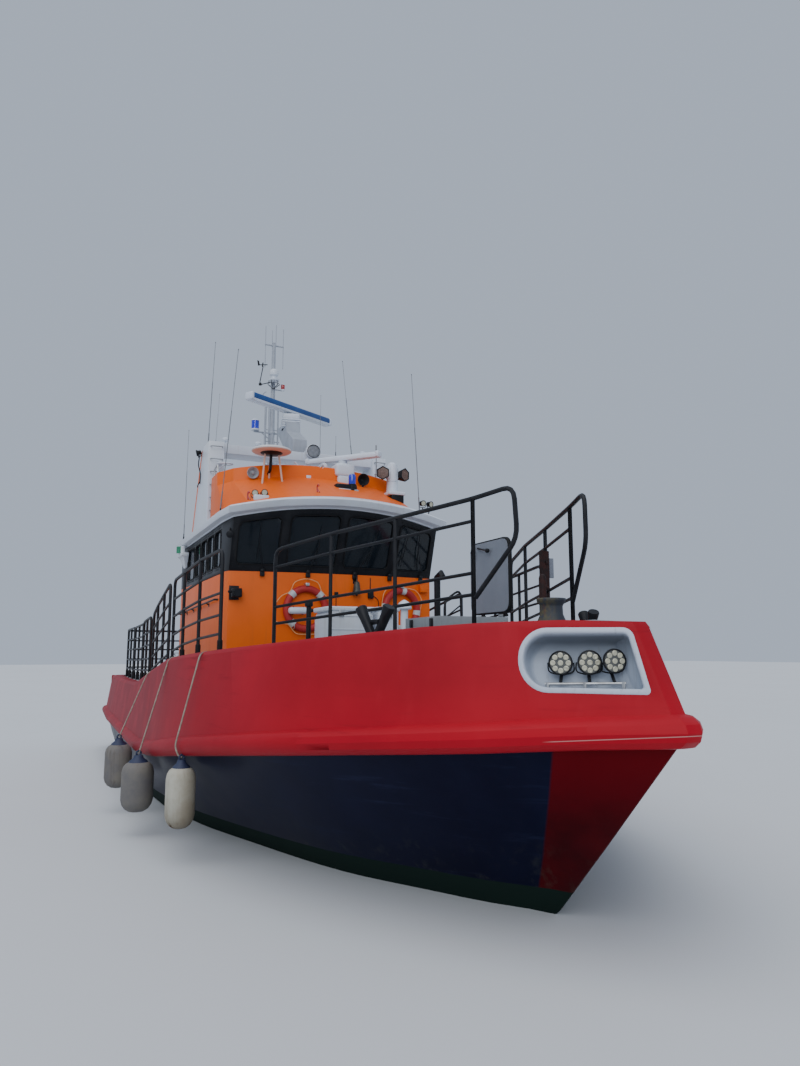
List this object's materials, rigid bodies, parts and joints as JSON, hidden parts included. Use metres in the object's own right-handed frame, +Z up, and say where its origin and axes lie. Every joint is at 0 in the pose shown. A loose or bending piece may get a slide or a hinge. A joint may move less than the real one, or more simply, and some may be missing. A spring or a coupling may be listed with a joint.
{
  "type": "all-weather rescue lifeboat",
  "caption": "Rescue lifeboat with a deep fender belt, glazed wheelhouse, open flying bridge, radar arch, mast, twin propellers and rudders.",
  "frame": {"origin": "on the centreline amidships, at the waterline", "axes": "+X forward to the bow, +Y to port, +Z up"},
  "size_m": [17.2804, 6.357, 11.16],
  "materials": {
    "antifoul": "matt dark antifouling paint",
    "black": "satin black paint",
    "blue": "gloss blue moulding",
    "bronze": "bronze, dulled by sea water",
    "buoy": "matt red moulding",
    "fender": "soft grey moulding with brown stains",
    "glass": "dark tinted glass",
    "grey": "grey deck paint",
    "navy": "satin navy hull paint, scuffed at the waterline",
    "orange": "satin orange paint",
    "red": "matt red fender belt, rubbed along the roll",
    "seat": "black seat covering",
    "steel": "bare steel",
    "white": "gloss white paint"
  },
  "bodies": {
    "boat": {"hull": "navy", "belt_stern": "red", "stem_pad": "red", "centre_skeg": "antifoul", "foredeck_hatch_coaming": "grey", "samson_post": "grey", "foredeck_locker": "white", "vent_post": "black", "stern_rail": "black", "wheelhouse_walls": "orange", "window_band": "black", "window_glass": "glass", "wheelhouse_roof": "white", "helm_console": "black", "crew_seats": "seat", "flying_bridge_screen": "orange", "flying_bridge_helm": "white", "radar_arch": "white", "mast": "white", "upper_radar_base": "white", "lower_radar_base": "white", "disc_antenna": "white", "searchlight_stand": "white", "twin_light_stand": "white", "aft_casing": "grey", "lifebuoy_starboard": "buoy", "lifebuoy_port": "buoy", "belt_starboard": "red", "belt_port": "red", "lamp_tray_starboard": "white", "lamp_tray_port": "white", "bow_lamps_starboard": "black", "bow_lamps_port": "black", "shaft_keel_starboard": "antifoul", "shaft_keel_port": "antifoul", "bitts_starboard": "black", "bitts_port": "black", "bow_rail_starboard": "black", "bow_rail_port": "black", "side_rail_starboard": "black", "side_rail_port": "black", "sidelight_starboard": "white", "sidelight_port": "white", "fender_fore": "fender", "fender_middle": "fender", "fender_aft": "fender"},
    "propeller_starboard": {"propeller_starboard": "bronze", "propeller_shaft_starboard": "steel"},
    "propeller_port": {"propeller_port": "bronze", "propeller_shaft_port": "steel"},
    "rudder_starboard": {"rudder_starboard": "antifoul"},
    "rudder_port": {"rudder_port": "antifoul"},
    "foredeck_hatch_lid": {"foredeck_hatch_lid": "grey"},
    "wheelhouse_door": {"wheelhouse_door": "orange"},
    "upper_radar_scanner": {"upper_radar_scanner": "blue"},
    "lower_radar_scanner": {"lower_radar_scanner": "white"},
    "searchlight": {"searchlight": "white"},
    "twin_light": {"twin_light": "white"}
  },
  "joints": [
    {"name": "propeller_starboard_spin", "type": "hinge", "parent": "boat", "child": "propeller_starboard", "pos_m": [-6.6, -1.25, -1.135], "axis": [1, 0, 0], "continuous": true},
    {"name": "propeller_port_spin", "type": "hinge", "parent": "boat", "child": "propeller_port", "pos_m": [-6.6, 1.25, -1.135], "axis": [1, 0, 0], "continuous": true},
    {"name": "rudder_starboard_turn", "type": "hinge", "parent": "boat", "child": "rudder_starboard", "pos_m": [-7.5, -1.25, -0.555], "axis": [0, 0, 1], "range_deg": [-35, 35]},
    {"name": "rudder_port_turn", "type": "hinge", "parent": "boat", "child": "rudder_port", "pos_m": [-7.5, 1.25, -0.555], "axis": [0, 0, 1], "range_deg": [-35, 35]},
    {"name": "foredeck_hatch_lid_hinge", "type": "hinge", "parent": "boat", "child": "foredeck_hatch_lid", "pos_m": [5, 0.46, 2.71], "axis": [1, 0, 0], "range_deg": [0, 90]},
    {"name": "wheelhouse_door_hinge", "type": "hinge", "parent": "boat", "child": "wheelhouse_door", "pos_m": [-3.524, -0.354, 2.945], "axis": [0, 0, 1], "range_deg": [0, 110]},
    {"name": "upper_radar_spin", "type": "hinge", "parent": "boat", "child": "upper_radar_scanner", "pos_m": [-2.05, 0.02, 7.035], "axis": [0, 0, 1], "continuous": true},
    {"name": "lower_radar_spin", "type": "hinge", "parent": "boat", "child": "lower_radar_scanner", "pos_m": [-0.2, 0.48, 5.685], "axis": [0, 0, 1], "continuous": true},
    {"name": "searchlight_pan", "type": "hinge", "parent": "boat", "child": "searchlight", "pos_m": [-1, 0.15, 5.875], "axis": [0, 0, 1], "range_deg": [-175, 175]},
    {"name": "twin_light_pan", "type": "hinge", "parent": "boat", "child": "twin_light", "pos_m": [-0.02, 1.38, 5.375], "axis": [0, 0, 1], "range_deg": [-175, 175]}
  ],
  "couplings": [
    {"joint": "rudder_port_turn", "follows": "rudder_starboard_turn", "ratio": 1}
  ]
}
